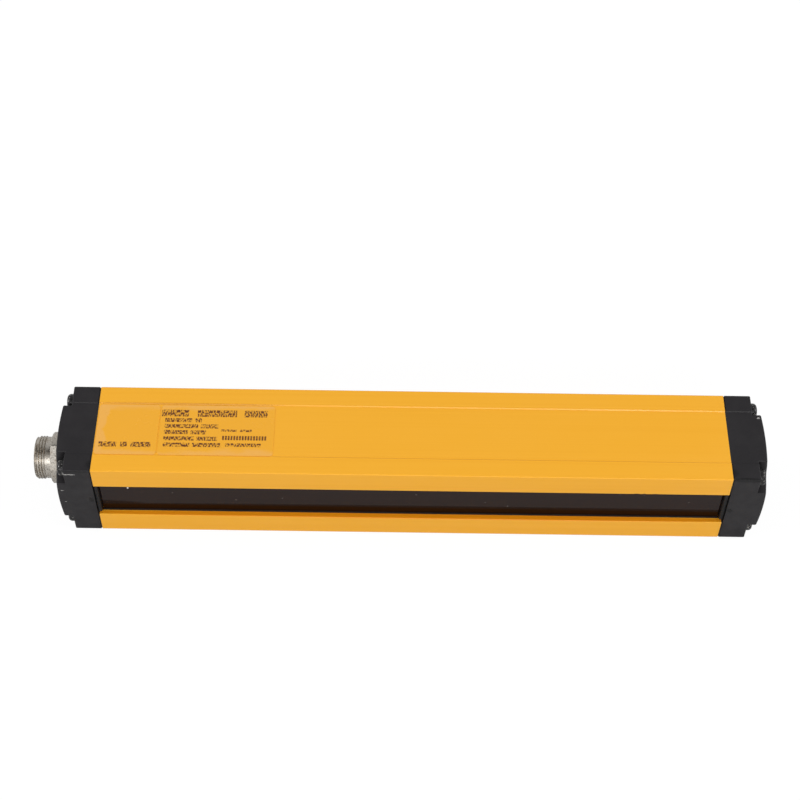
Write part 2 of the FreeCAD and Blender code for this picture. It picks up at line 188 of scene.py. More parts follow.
def drawn_out(mesh, length):
    """Extrude everything that is drawn along the bar, and turn its faces outwards."""
    drawn = bmesh.ops.extrude_face_region(mesh, geom=mesh.faces[:])["geom"]
    moved = [part for part in drawn if isinstance(part, bmesh.types.BMVert)]
    bmesh.ops.translate(mesh, vec=(length, 0, 0), verts=moved)
    bmesh.ops.recalc_face_normals(mesh, faces=mesh.faces[:])


def finish_piece(mesh, name, finish, crease=32):
    """Make an object of a mesh, smooth but for its sharp edges, that rides on the bar."""
    bmesh.ops.recalc_face_normals(mesh, faces=mesh.faces[:])
    for face in mesh.faces:
        face.smooth = True
    for edge in mesh.edges:
        edge.smooth = len(edge.link_faces) == 2 and edge.calc_face_angle() < math.radians(crease)
    data = bpy.data.meshes.new(name)
    mesh.to_mesh(data)
    mesh.free()
    data.materials.append(finish)
    piece = bpy.data.objects.new(name, data)
    bpy.context.scene.collection.objects.link(piece)
    even = piece.modifiers.new("flat faces stay flat", "WEIGHTED_NORMAL")
    even.keep_sharp = True
    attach(piece, "root")
    return piece


slot_side = [(12.2, 6.5, edge_round), (17.2, 6.5, edge_round), (17.2, 4, 0), (19, 4, edge_round)]
broad_side = [
    (section_half, section_half, corner_round),
    (panel_edge, section_half, 0),
    (panel_edge - panel_depth, section_half - panel_depth, 0),
    (panel_depth - panel_edge, section_half - panel_depth, 0),
    (-panel_edge, section_half, 0),
    (-section_half, section_half, corner_round),
]
window_side = [(-19, 9, 0.4), (-17, 9, 0), (-17, 11.2, 0), (-14, 11.2, 0), (-14, 8.5, 0)]
chamber_side = [(-11.7, 8.5, 0), (-11.7, 16.8, 0), (-0.35, 16.8, 0), (-0.35, 15, 0),
                (0.85, 15, 0), (0.85, 16.8, 0), (2.75, 16.8, 0), (2.75, 15, 0), (3.95, 15, 0),
                (3.95, 16.8, 0), (16.8, 16.8, 0), (16.8, 8.3, 0), (10.4, 8.3, edge_round)]
bar_mesh = bmesh.new()
draw_section(bar_mesh, slot_side + broad_side + window_side + chamber_side, bar_low.x)
bmesh.ops.delete(bar_mesh, geom=bar_mesh.faces[:], context="FACES_ONLY")
for port_side in (-1, 1):
    port_place = Vector((bar_low.x, -port_offset * mm, bar_axis + port_side * port_offset * mm))
    across = Matrix.Translation(port_place) @ Matrix.Rotation(math.pi / 2, 4, "Y")
    bmesh.ops.create_circle(bar_mesh, cap_ends=False, segments=20, radius=port_radius * mm,
                            matrix=across)
bmesh.ops.triangle_fill(bar_mesh, use_beauty=True, edges=bar_mesh.edges[:], normal=(1, 0, 0))
drawn_out(bar_mesh, bar_length)

satin_coat = start_finish("satin yellow powder coat", coat_yellow, 0.4)
shader_of(satin_coat).inputs["Specular IOR Level"].default_value = 0.35
coat_clouds = cloud(satin_coat, 22 * mm, along=3)
stain(satin_coat, fitted_range(satin_coat, coat_clouds, 0.35, 0.65, 0.0, 0.5), coat_pale)
die_lines = cloud(satin_coat, 0.8 * mm, along=300, detail=3)
stain(satin_coat, fitted_range(satin_coat, die_lines, 0.45, 0.75, 0.0, 0.35), coat_deep)
coat_specks = cloud(satin_coat, 1.6 * mm, detail=1)
stain(satin_coat, fitted_range(satin_coat, coat_specks, 0.76, 0.82, 0.0, 0.35), coat_deep)
# Painted shade: the top face of the lower lip, inside the window recess, is darkened where the
# bar above shades it.
painted_recess_shade = mark(satin_coat, (4.5, -18, 10), (125, 1.3, 0.4), 0.1)
stain(satin_coat, painted_recess_shade, coat_recess_painted_shade)
# Painted shade: along the labels, the step at the back border of the upper panel is darkened in
# place of its highlight.
painted_label_step_shade = mark(satin_coat, (-79, 11.55, 37.85), (34, 0.4, 0.5), 0.2)
stain(satin_coat, painted_label_step_shade, coat_step_painted_shade)
for chip_place, chip_length in chips:
    chip = mark(satin_coat, (chip_place, -19, 28.0), (chip_length, 1.2, 0.5), 0.4)
    stain(satin_coat, chip, chip_brown)
gloss_change(satin_coat, cloud(satin_coat, 9 * mm, along=6), 0.3, 0.7, 0.28, 0.38)
relief(satin_coat, cloud(satin_coat, 0.35 * mm), 0.004 * mm)
relief(satin_coat, die_lines, 0.006 * mm)
bar = finish_piece(bar_mesh, "coated_bar", satin_coat)
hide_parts("housing_profile")

# ------------------------------------------------------------------ the window
# The window is a polished strip of dark acrylic that lets infrared through. It is slid in from
# one end behind the lips of the recess, with a thin rubber strip between it and each lip. A brown
# band along its lower edge, with less shine, is a painted reflection of the lower lip and
# painted shade where the lip hides it.
pane_black = (0.0125, 0.0042, 0.0030)
pane_painted_reflection = (0.0150, 0.0054, 0.0020)
pane_shine = 0.22
edge_shine = 0.05
rubber_black = (0.010, 0.010, 0.010)
rubber_grey = (0.022, 0.021, 0.020)
dust_white = (0.80, 0.77, 0.72)


def dress(finish, *names):
    """Give solids from the frame a finish in place of their plain colour."""
    for name in names:
        for material_slot in nodes[name].material_slots:
            material_slot.material = finish


dark_filter = start_finish("polished dark filter", pane_black, 0.05)
gloss_change(dark_filter, cloud(dark_filter, 6 * mm, along=4), 0.35, 0.7, 0.04, 0.12)
stain(dark_filter, mark(dark_filter, (-98.9, -16.5, 23.9), (0.34, 1, 0.45), 0.2), dust_white)
dust = fitted_range(dark_filter, cloud(dark_filter, 0.9 * mm, detail=0), 0.86, 0.9, 0.0, 0.2)
stain(dark_filter, dust, dust_white)
# Painted reflection and shade: a brown band along the lower edge, wider at the receptacle's end,
# stands for the lower lip seen in the pane.
lip_reflection_strip = mark(dark_filter, (60, -16.5, 10.4), (300, 4, 4.45), 0.0)
lip_reflection_end = mark(dark_filter, (-112, -16.5, 10.4), (26, 4, 5.5), 0.0)
painted_lip_reflection = combined(dark_filter, "MAXIMUM", lip_reflection_strip, lip_reflection_end)
stain(dark_filter, painted_lip_reflection, pane_painted_reflection)
pane_gloss = shader_of(dark_filter).inputs["Specular IOR Level"]
pane_gloss.default_value = pane_shine
dull_edge = fitted_range(dark_filter, painted_lip_reflection, 0.0, 1.0, pane_shine, edge_shine)
dark_filter.node_tree.links.new(dull_edge, pane_gloss)
relief(dark_filter, cloud(dark_filter, 14 * mm, along=3), 0.02 * mm)
dress(dark_filter, "window_pane")

black_rubber = start_finish("black rubber", rubber_black, 0.6)
rubber_clouds = fitted_range(black_rubber, cloud(black_rubber, 3 * mm), 0.4, 0.7, 0.0, 0.5)
stain(black_rubber, rubber_clouds, rubber_grey)
gloss_change(black_rubber, cloud(black_rubber, 2 * mm), 0.3, 0.7, 0.5, 0.75)
relief(black_rubber, cloud(black_rubber, 0.25 * mm), 0.01 * mm)
dress(black_rubber, "window_seal_upper", "window_seal_lower")

# ------------------------------------------------------------------ the optics
# Eight plano-convex acrylic lenses sit 20 mm apart in a moulded black carrier, and an infrared
# emitter of tinted epoxy stands behind each on the board.
beam_count = 8
carrier_colour = (0.012, 0.012, 0.013)
lens_colour = (0.95, 0.96, 0.97)
epoxy_colour = (0.10, 0.06, 0.14)

carrier_black = start_finish("black moulded carrier", carrier_colour, 0.5)
gloss_change(carrier_black, cloud(carrier_black, 3 * mm), 0.3, 0.7, 0.4, 0.6)
relief(carrier_black, cloud(carrier_black, 0.2 * mm), 0.01 * mm)
dress(carrier_black, "lens_carrier")

lens_acrylic = start_finish("clear lens acrylic", lens_colour, 0.03)
shader_of(lens_acrylic).inputs["Transmission Weight"].default_value = 1.0
shader_of(lens_acrylic).inputs["IOR"].default_value = 1.49
gloss_change(lens_acrylic, cloud(lens_acrylic, 4 * mm), 0.4, 0.7, 0.02, 0.06)
dress(lens_acrylic, *[f"lens_{number}" for number in range(1, beam_count + 1)])

tinted_epoxy = start_finish("tinted emitter epoxy", epoxy_colour, 0.12)
shader_of(tinted_epoxy).inputs["Transmission Weight"].default_value = 0.6
gloss_change(tinted_epoxy, cloud(tinted_epoxy, 1.5 * mm), 0.3, 0.7, 0.08, 0.2)
dress(tinted_epoxy, *[f"emitter_{number}" for number in range(1, beam_count + 1)])

# ------------------------------------------------------------------ the board
# The board is a strip of green-masked laminate that slides into the bar's rails. On its back
# are a header for the leads, a controller, two drivers and an electrolytic capacitor.
mask_dark = (0.012, 0.105, 0.030)
mask_light = (0.02, 0.15, 0.04)
header_colour = (0.78, 0.74, 0.62)
chip_colour = (0.014, 0.014, 0.015)
can_colour = (0.72, 0.72, 0.74)

green_mask = start_finish("green solder mask", mask_dark, 0.3)
board_weave = cloud(green_mask, 0.6 * mm, along=2)
stain(green_mask, fitted_range(green_mask, board_weave, 0.4, 0.65, 0.0, 0.5), mask_light)
gloss_change(green_mask, cloud(green_mask, 5 * mm), 0.3, 0.7, 0.24, 0.4)
relief(green_mask, board_weave, 0.01 * mm)
dress(green_mask, "emitter_board")

header_ivory = start_finish("ivory header nylon", header_colour, 0.45)
gloss_change(header_ivory, cloud(header_ivory, 1.5 * mm), 0.3, 0.7, 0.38, 0.55)
relief(header_ivory, cloud(header_ivory, 0.2 * mm), 0.006 * mm)
dress(header_ivory, "board_header")

chip_black = start_finish("black moulding epoxy", chip_colour, 0.55)
gloss_change(chip_black, cloud(chip_black, 0.3 * mm), 0.3, 0.7, 0.45, 0.7)
relief(chip_black, cloud(chip_black, 0.12 * mm), 0.006 * mm)
dress(chip_black, "microcontroller", "beam_driver_1", "beam_driver_2")

can_aluminium = start_finish("drawn aluminium can", can_colour, 0.3, metallic=1.0)
gloss_change(can_aluminium, cloud(can_aluminium, 0.8 * mm), 0.3, 0.7, 0.22, 0.42)
dress(can_aluminium, "capacitor")

# ------------------------------------------------------------------ the receptacle
# The receptacle is turned from brass and plated with nickel. Its shoulder has two spanner
# flats, and its barrel ends in an M16 x 1 thread. It is clamped in the cap by a nut and a lock
# washer, over a rubber seal, and four leads run from its contacts to the board.
nickel_warm = (0.61, 0.57, 0.51)
nickel_brown = (0.36, 0.28, 0.20)
nickel_dark = (0.12, 0.095, 0.07)
washer_colour = (0.55, 0.55, 0.57)
insulator_colour = (0.014, 0.014, 0.014)
contact_colour = (0.80, 0.58, 0.26)
lead_colours = ((0.20, 0.06, 0.02), (0.55, 0.54, 0.50), (0.01, 0.04, 0.30), (0.01, 0.01, 0.01))
flat_angle = math.radians(53)
flat_distance = 8.4
thread_pitch = 1.0
thread_turns = 3.3
steps_in_turn = 64
shoulder_outline = ((14.8, 7.5), (14.8, 9.3), (15.0, 9.5), (17.5, 9.5), (17.8, 9.2), (17.8, 7.5))
barrel_outline = ((4.1, 6.5), (4.1, 7.8), (4.3, 8.0), (14.9, 8.0), (14.9, 7.7), (17.9, 7.62),
                  (18.1, 7.7), (20.0, 7.7), (20.35, 7.35), (23.6, 7.35), (23.75, 7.6),
                  (24.0, 7.35), (24.0, 6.7), (23.8, 6.5))
ridge_points = ((23.85, 7.25), (23.52, 7.98), (23.38, 7.98), (23.05, 7.25))
key_size = (7.6, 1.6, 0.9)


def turned_ring(mesh, outline, steps=72):
    """Turn a closed outline of (distance out of the bar's end, radius) about the bar's axis."""
    points = [mesh.verts.new((out * mm, 0, bar_axis + radius * mm)) for out, radius in outline]
    edges = [mesh.edges.new(pair) for pair in zip(points, points[1:] + points[:1])]
    bmesh.ops.spin(mesh, geom=points + edges, cent=(0, 0, bar_axis), axis=(1, 0, 0),
                   angle=2 * math.pi, steps=steps, use_merge=True)


def to_connector_end(mesh):
    """Turn distances out of the bar's end into places at the receptacle's end."""
    bmesh.ops.scale(mesh, vec=(-1, 1, 1), verts=mesh.verts[:])
    bmesh.ops.translate(mesh, vec=(bar_low.x, 0, 0), verts=mesh.verts[:])
    bmesh.ops.recalc_face_normals(mesh, faces=mesh.faces[:])


def to_blind_end(mesh):
    """Turn distances out of the bar's end into places at the plain end."""
    bmesh.ops.translate(mesh, vec=(bar_high.x, 0, 0), verts=mesh.verts[:])


shell_mesh = bmesh.new()
turned_ring(shell_mesh, shoulder_outline)
for flat_side in (-1, 1):
    facing = Vector((0, -math.cos(flat_angle), math.sin(flat_angle))) * flat_side
    on_flat = Vector((0, 0, bar_axis)) + facing * flat_distance * mm
    cut = bmesh.ops.bisect_plane(
        shell_mesh, geom=shell_mesh.verts[:] + shell_mesh.edges[:] + shell_mesh.faces[:],
        plane_co=on_flat, plane_no=facing, clear_outer=True)["geom_cut"]
    rim = [part for part in cut if isinstance(part, bmesh.types.BMEdge)]
    bmesh.ops.edgeloop_fill(shell_mesh, edges=rim)
turned_ring(shell_mesh, barrel_outline)
ridge = [shell_mesh.verts.new((out * mm, 0, bar_axis + r * mm)) for out, r in ridge_points]
ridge_face = shell_mesh.faces.new(ridge)
bmesh.ops.spin(shell_mesh, geom=ridge + ridge_face.edges[:] + [ridge_face],
               cent=(0, 0, bar_axis), axis=(1, 0, 0),
               dvec=(-thread_pitch * mm / steps_in_turn, 0, 0),
               angle=2 * math.pi * thread_turns, steps=math.ceil(thread_turns * steps_in_turn))
key_place = Matrix.Translation((19.2 * mm, 0, bar_axis + 6.15 * mm))
key_stretch = Matrix.Diagonal([length * mm for length in key_size] + [1])
bmesh.ops.create_cube(shell_mesh, size=1.0, matrix=key_place @ key_stretch)
to_connector_end(shell_mesh)

nickel = start_finish("nickel plate", nickel_warm, 0.2, metallic=1.0)
tarnish = cloud(nickel, 2.5 * mm)
stain(nickel, fitted_range(nickel, tarnish, 0.5, 0.72, 0.0, 0.45), nickel_brown)
speckles = fitted_range(nickel, cloud(nickel, 0.5 * mm, detail=1), 0.56, 0.7, 0.0, 0.7)
stain(nickel, speckles, nickel_dark)
gloss_change(nickel, cloud(nickel, 0.9 * mm), 0.3, 0.7, 0.22, 0.38)
relief(nickel, cloud(nickel, 0.3 * mm), 0.004 * mm)
shell = finish_piece(shell_mesh, "turned_receptacle_shell", nickel)
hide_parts("receptacle_shell")
dress(nickel, "receptacle_nut")

spring_steel = start_finish("spring steel", washer_colour, 0.35, metallic=1.0)
gloss_change(spring_steel, cloud(spring_steel, 0.7 * mm), 0.3, 0.7, 0.28, 0.45)
dress(spring_steel, "receptacle_lock_washer")
dress(black_rubber, "receptacle_washer_seal")

insulator_black = start_finish("black insulator nylon", insulator_colour, 0.4)
gloss_change(insulator_black, cloud(insulator_black, 1.2 * mm), 0.3, 0.7, 0.34, 0.5)
relief(insulator_black, cloud(insulator_black, 0.2 * mm), 0.006 * mm)
dress(insulator_black, "receptacle_insulator")

contact_gold = start_finish("flashed contact brass", contact_colour, 0.22, metallic=1.0)
gloss_change(contact_gold, cloud(contact_gold, 0.5 * mm), 0.3, 0.7, 0.16, 0.3)
dress(contact_gold, "contact_pin_1", "contact_pin_2", "contact_pin_3", "contact_pin_4")

for number, lead_colour in enumerate(lead_colours, start=1):
    lead_sleeve = start_finish(f"lead insulation {number}", lead_colour, 0.4)
    gloss_change(lead_sleeve, cloud(lead_sleeve, 1 * mm), 0.3, 0.7, 0.34, 0.5)
    dress(lead_sleeve, f"lead_wire_{number}")

# ------------------------------------------------------------------ the end caps
# A cap of black glass-filled nylon closes each end, over a rubber gasket. It is moulded with a
# fine spark-eroded grain and a slightly domed face, with a notch at each corner for a screw.
# A tongue enters the window recess, and the T-slot runs on through the cap.
nylon_black = (0.0125, 0.0112, 0.0130)
nylon_grey = (0.0255, 0.0230, 0.0250)
painted_shade_and_gate_dark = (0.0040, 0.0036, 0.0042)
scuff_white = (0.44, 0.43, 0.41)
cap_base = 0.5
cap_flange = 10.1
cap_top = 15.1
dome_radius = 120.0
notch_wall = 10.5
seat_face = 14.3
seat_radius = 10.2
bore_radius = 8.1
pocket_roof = 8.9
pocket_front = -13.2
pocket_back = 9.8
pocket_side = 11.3
tongue_size = (1.8, 4.4, 16.7)
tongue_round = 0.7
scuffs = (
    ((-119.7, -19, 35.5), (0.8, 0.7, 0.17)), ((-118.6, -19, 35.7), (0.9, 0.7, 0.20)),
    ((-117.4, -19, 35.4), (0.9, 0.7, 0.18)), ((-120.5, -18.6, 35.8), (0.3, 0.6, 0.7)),
    ((-122.3, -19, 25.4), (0.6, 0.5, 0.16)), ((-121.8, -19, 18.2), (0.3, 0.5, 0.12)),
    ((131.6, 8.8, 37.9), (0.4, 0.4, 0.4)),
)
# Painted shade: a dark line along the near top edge of each cap, over its highlight, and the
# tongues in the window recess darkened as in shadow.
painted_shade_places = (
    ((-115.9, -19, 37.3), (5.2, 1, 0.35)), ((124.8, -18.9, 37.5), (5.4, 0.9, 1.0)),
    ((-110.0, -16, 19), (4, 2.75, 24)), ((118.9, -16, 19), (4, 2.75, 24)),
)
grid_lines = (-14.7, -10.5, -7.875, -5.25, -2.625, 0, 2.625, 5.25, 7.875, 10.5, 14.7)


def sliced(mesh, parts, direction, distance):
    """Cut a mesh across, so that the parts on each side can be shaped apart."""
    place = Vector((0, 0, bar_axis)) + direction * distance * mm
    return bmesh.ops.bisect_plane(mesh, geom=parts, plane_co=place, plane_no=direction)


def raised(mesh, faces, distance):
    """Extrude some faces along the bar with their edges, and give the new points."""
    edges = list({edge for face in faces for edge in face.edges})
    drawn = bmesh.ops.extrude_face_region(mesh, geom=faces + edges)["geom"]
    moved = [part for part in drawn if isinstance(part, bmesh.types.BMVert)]
    bmesh.ops.translate(mesh, vec=(distance * mm, 0, 0), verts=moved)
    return moved


def offsets(place):
    """Give a place's distances from the bar's axis, backwards and upwards, in millimetres."""
    return place.y / mm, (place.z - bar_axis) / mm


def dome_height(back, up):
    """Give the height of the cap's domed face over a place on it."""
    return cap_top - dome_radius + math.sqrt(dome_radius ** 2 - back ** 2 - up ** 2)


def edge_middle(edge):
    return (edge.verts[0].co + edge.verts[1].co) / 2


def moulded_cap(has_seat):
    """Mould one cap, by its distances out of the bar's end."""
    mesh = bmesh.new()
    draw_section(mesh, slot_side + broad_side, cap_base * mm)
    drawn_out(mesh, (cap_flange - cap_base) * mm)
    for line in grid_lines:
        sliced(mesh, mesh.verts[:] + mesh.edges[:] + mesh.faces[:], Vector((0, 1, 0)), line)
        sliced(mesh, mesh.verts[:] + mesh.edges[:] + mesh.faces[:], Vector((0, 0, 1)), line)
    plateau = []
    for face in mesh.faces:
        back, up = offsets(face.calc_center_median())
        if face.normal.x > 0.9 and min(abs(back), abs(up)) < notch_wall:
            plateau.append(face)
    for point in raised(mesh, plateau, 1.0):
        point.co.x = dome_height(*offsets(point.co)) * mm
    bmesh.ops.recalc_face_normals(mesh, faces=mesh.faces[:])
    inner_corners = []
    for edge in mesh.edges:
        back, up = offsets(edge_middle(edge))
        along = abs(edge.verts[0].co.x - edge.verts[1].co.x) > 1 * mm
        if along and abs(abs(back) - notch_wall) + abs(abs(up) - notch_wall) < 0.01:
            if max(point.co.x for point in edge.verts) > (cap_flange + 1) * mm:
                inner_corners.append(edge)
    bmesh.ops.bevel(mesh, geom=inner_corners, offset=1 * mm, offset_type="OFFSET",
                    affect="EDGES", segments=4, profile=0.5, material=-1)
    outer_edges = []
    for edge in mesh.edges:
        back, up = offsets(edge_middle(edge))
        in_slot = back > 12 and abs(up) < 6.6
        raised_edge = edge_middle(edge).x > (cap_flange - 0.01) * mm
        if raised_edge and not in_slot and len(edge.link_faces) == 2 and edge.is_convex:
            if edge.calc_face_angle() > math.radians(50):
                outer_edges.append(edge)
    bmesh.ops.bevel(mesh, geom=outer_edges, offset=0.5 * mm, offset_type="OFFSET",
                    affect="EDGES", segments=3, profile=0.5, material=-1)
    if has_seat:
        open_seat(mesh)
    hollow_out(mesh, has_seat)
    add_tongue(mesh)
    return mesh


def open_seat(mesh):
    """Sink a round seat into the middle of the domed face, with a bore below it."""
    middle = []
    for face in mesh.faces:
        back, up = offsets(face.calc_center_median())
        if face.normal.x > 0.9 and max(abs(back), abs(up)) < notch_wall:
            middle.append(face)
    bmesh.ops.delete(mesh, geom=middle, context="FACES")
    rim = [edge for edge in mesh.edges if len(edge.link_faces) == 1]
    edge_height = dome_height(seat_radius, 0)
    for out, radius in ((edge_height, seat_radius + 0.15), (edge_height - 0.15, seat_radius),
                        (seat_face, seat_radius), (seat_face, bore_radius),
                        (pocket_roof, bore_radius)):
        place = Matrix.Translation((out * mm, 0, bar_axis))
        bmesh.ops.create_circle(mesh, segments=64, radius=radius * mm,
                                matrix=place @ Matrix.Rotation(math.pi / 2, 4, "Y"))
        ring = [edge for edge in mesh.edges if not edge.link_faces]
        bmesh.ops.bridge_loops(mesh, edges=rim + ring)
        rim = ring


def inner_faces(mesh, height, front, behind, half_height):
    """List the faces that look inwards at a height, between some sides."""
    found = []
    for face in mesh.faces:
        middle = face.calc_center_median()
        back, up = offsets(middle)
        at_height = abs(middle.x - height * mm) < 0.01 * mm and abs(face.normal.x) > 0.9
        if at_height and front < back < behind and abs(up) < half_height:
            found.append(face)
    return found


def hollow_out(mesh, has_seat):
    """Sink the pocket for the nut and the leads into the cap's inner face."""
    backwards = Vector((0, 1, 0))
    upwards = Vector((0, 0, 1))
    for direction, line in ((backwards, pocket_front), (backwards, pocket_back),
                            (upwards, -pocket_side), (upwards, pocket_side)):
        inner = inner_faces(mesh, cap_base, -section_half, section_half, section_half)
        edges = {edge for face in inner for edge in face.edges}
        sliced(mesh, inner + list(edges), direction, line)
    floor = inner_faces(mesh, cap_base, pocket_front, pocket_back, pocket_side)
    raised(mesh, floor, pocket_roof - cap_base)
    if has_seat:
        roof = inner_faces(mesh, pocket_roof, -notch_wall, pocket_back, notch_wall)
        bmesh.ops.delete(mesh, geom=roof, context="FACES")
        bmesh.ops.bridge_loops(mesh, edges=[e for e in mesh.edges if len(e.link_faces) == 1])


def add_tongue(mesh):
    """Add the tongue that closes the end of the window recess."""
    place = Matrix.Translation((-0.3 * mm, -16.2 * mm, bar_axis))
    stretch = Matrix.Diagonal([length * mm for length in tongue_size] + [1])
    tongue = bmesh.ops.create_cube(mesh, size=1.0, matrix=place @ stretch)["verts"]
    edges = list({edge for point in tongue for edge in point.link_edges})
    bmesh.ops.bevel(mesh, geom=edges, offset=tongue_round * mm, offset_type="OFFSET",
                    affect="EDGES", segments=4, profile=0.5, material=-1)


grained_nylon = start_finish("grained black nylon", nylon_black, 0.5)
shader_of(grained_nylon).inputs["Specular IOR Level"].default_value = 0.3
nylon_grain = cloud(grained_nylon, 0.22 * mm, detail=1)
stain(grained_nylon, fitted_range(grained_nylon, nylon_grain, 0.5, 0.75, 0.0, 0.6), nylon_grey)
nylon_clouds = fitted_range(grained_nylon, cloud(grained_nylon, 7 * mm), 0.4, 0.7, 0.0, 0.35)
stain(grained_nylon, nylon_clouds, nylon_grey)
for scuff_place, scuff_reach in scuffs:
    stain(grained_nylon, mark(grained_nylon, scuff_place, scuff_reach, 0.7), scuff_white)
# Paint the shade over the caps' near top edges and the tongues.
for shade_place, shade_reach in painted_shade_places:
    stain(grained_nylon, mark(grained_nylon, shade_place, shade_reach, 0.15), painted_shade_and_gate_dark)
# The gate marks are sunk a little and darkened with the same dark colour.
gate_left = mark(grained_nylon, (-112.3, -19, 19.7), (0.8, 1, 1.3), 0.3)
gate_right = mark(grained_nylon, (121.2, -19, 18.2), (0.9, 1, 1.3), 0.3)
gates = combined(grained_nylon, "MAXIMUM", gate_left, gate_right)
stain(grained_nylon, gates, painted_shade_and_gate_dark)
gloss_change(grained_nylon, cloud(grained_nylon, 4 * mm), 0.3, 0.7, 0.42, 0.56)
relief(grained_nylon, nylon_grain, 0.02 * mm)
relief(grained_nylon, gates, -0.3 * mm)

connector_cap_mesh = moulded_cap(has_seat=True)
to_connector_end(connector_cap_mesh)
connector_cap = finish_piece(connector_cap_mesh, "connector_end_moulding", grained_nylon)
blind_cap_mesh = moulded_cap(has_seat=False)
to_blind_end(blind_cap_mesh)
blind_cap = finish_piece(blind_cap_mesh, "blind_end_moulding", grained_nylon)
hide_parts("connector_end_cap")
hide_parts("blind_end_cap")
dress(black_rubber, "connector_end_gasket", "blind_end_gasket")

# ------------------------------------------------------------------ the screws
# Four pan-head screws of black oxide steel hold each cap, in the ports at the bar's corners.
# The heads are cold formed with a cross recess, and stand in the notches of the cap.
oxide_black = (0.030, 0.029, 0.030)
worn_steel = (0.55, 0.53, 0.50)
screw_places = ((-14.8, 14.8), (14.8, 14.8), (14.8, -14.8), (-14.8, -14.8))
crown_height = 12.5
crown_radius = 1.9
recess_half_width = 0.42
recess_reach = 1.75
recess_depth = 1.3
head_rings = ((2.45, -0.2), (2.85, -0.65), (3.0, -1.15), (3.0, -2.4), (1.45, -2.4), (1.45, -22.4))

black_oxide = start_finish("black oxide steel", oxide_black, 0.3, metallic=0.6)
gloss_change(black_oxide, cloud(black_oxide, 0.5 * mm), 0.3, 0.7, 0.14, 0.28)
worn_edge = fitted_range(black_oxide, cloud(black_oxide, 0.6 * mm), 0.61, 0.68, 0.0, 0.65)
stain(black_oxide, worn_edge, worn_steel)
relief(black_oxide, cloud(black_oxide, 0.15 * mm), 0.008 * mm)


def pan_head_screw(back, up):
    """Form one screw, by its distances out of the bar's end."""
    mesh = bmesh.new()
    middle = Vector((crown_height * mm, back * mm, bar_axis + up * mm))
    upright = Matrix.Translation(middle) @ Matrix.Rotation(math.pi / 2, 4, "Y")
    bmesh.ops.create_circle(mesh, cap_ends=True, segments=28, radius=crown_radius * mm,
                            matrix=upright)
    for direction in (Vector((0, 1, 0)), Vector((0, 0, 1))):
        for distance in (-recess_reach, -recess_half_width, recess_half_width, recess_reach):
            bmesh.ops.bisect_plane(
                mesh, geom=mesh.verts[:] + mesh.edges[:] + mesh.faces[:],
                plane_co=middle + direction * distance * mm, plane_no=direction)
    rim = [edge for edge in mesh.edges if len(edge.link_faces) == 1]
    for radius, depth in head_rings:
        drawn = bmesh.ops.extrude_edge_only(mesh, edges=rim)["geom"]
        rim = [part for part in drawn if isinstance(part, bmesh.types.BMEdge)]
        for point in {point for edge in rim for point in edge.verts}:
            outward = Vector((0, point.co.y - middle.y, point.co.z - middle.z)).normalized()
            point.co = middle + outward * radius * mm + Vector((depth * mm, 0, 0))
    bmesh.ops.edgeloop_fill(mesh, edges=rim)
    cross = []
    for face in mesh.faces:
        centre = face.calc_center_median() - middle
        near, far = sorted((abs(centre.y), abs(centre.z)))
        on_crown = abs(centre.x) < 0.01 * mm
        if on_crown and near < recess_half_width * mm and far < recess_reach * mm:
            cross.append(face)
    raised(mesh, cross, -recess_depth)
    return mesh


for end_name, to_end in (("connector_end", to_connector_end), ("blind_end", to_blind_end)):
    for number, screw_place in enumerate(screw_places, start=1):
        screw_mesh = pan_head_screw(*screw_place)
        to_end(screw_mesh)
        screw = finish_piece(screw_mesh, f"{end_name}_pan_head_{number}", black_oxide)
        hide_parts(f"{end_name}_screw_{number}")

# ------------------------------------------------------------------ the labels
# Two clear polyester films are laid on the upper panel by the receptacle. Where the adhesive
# has not flowed along their borders they look paler. Their print is a dark red-brown ink, kept
# here as plain blocks and bars.
film_yellow = (0.865, 0.405, 0.021)
film_pale = (0.850, 0.430, 0.085)
ink_brown = (0.130, 0.036, 0.005)
ink_height = 0.01
stripe_count = 16
stripe_pitch = 1.02
first_stripe = -64.1
stripe_width = 0.66
stripe_height = 1.9

clear_film = start_finish("clear film over the yellow", film_yellow, 0.22)
film_border = clear_film.node_tree.nodes.new("ShaderNodeSeparateXYZ")
clear_film.node_tree.links.new(own_place(clear_film, (mm, mm, mm)), film_border.inputs[0])
from_middle = combined(clear_film, "ADD", film_border.outputs["Y"], 0.2)
from_middle = combined(clear_film, "ABSOLUTE", from_middle, 0.0)
waver = fitted_range(clear_film, cloud(clear_film, 6 * mm, along=2), 0.3, 0.7, -1.4, 1.4)
from_middle = combined(clear_film, "ADD", from_middle, waver)
stain(clear_film, fitted_range(clear_film, from_middle, 8.6, 10.6, 0.0, 0.85), film_pale)
corner_lift = mark(clear_film, (-109.8, 6.5, 37.8), (3.4, 6.5, 2), 0.3, 8)
edge_lift = mark(clear_film, (-110.6, -6.0, 37.8), (3.4, 6.5, 2), 0.3, 8)
lifts = combined(clear_film, "MAXIMUM", corner_lift, edge_lift)
stain(clear_film, combined(clear_film, "MULTIPLY", lifts, 0.8), film_pale)
gloss_change(clear_film, cloud(clear_film, 5 * mm), 0.3, 0.7, 0.18, 0.3)
relief(clear_film, cloud(clear_film, 8 * mm), 0.03 * mm)
dress(clear_film, "small_label", "data_label")

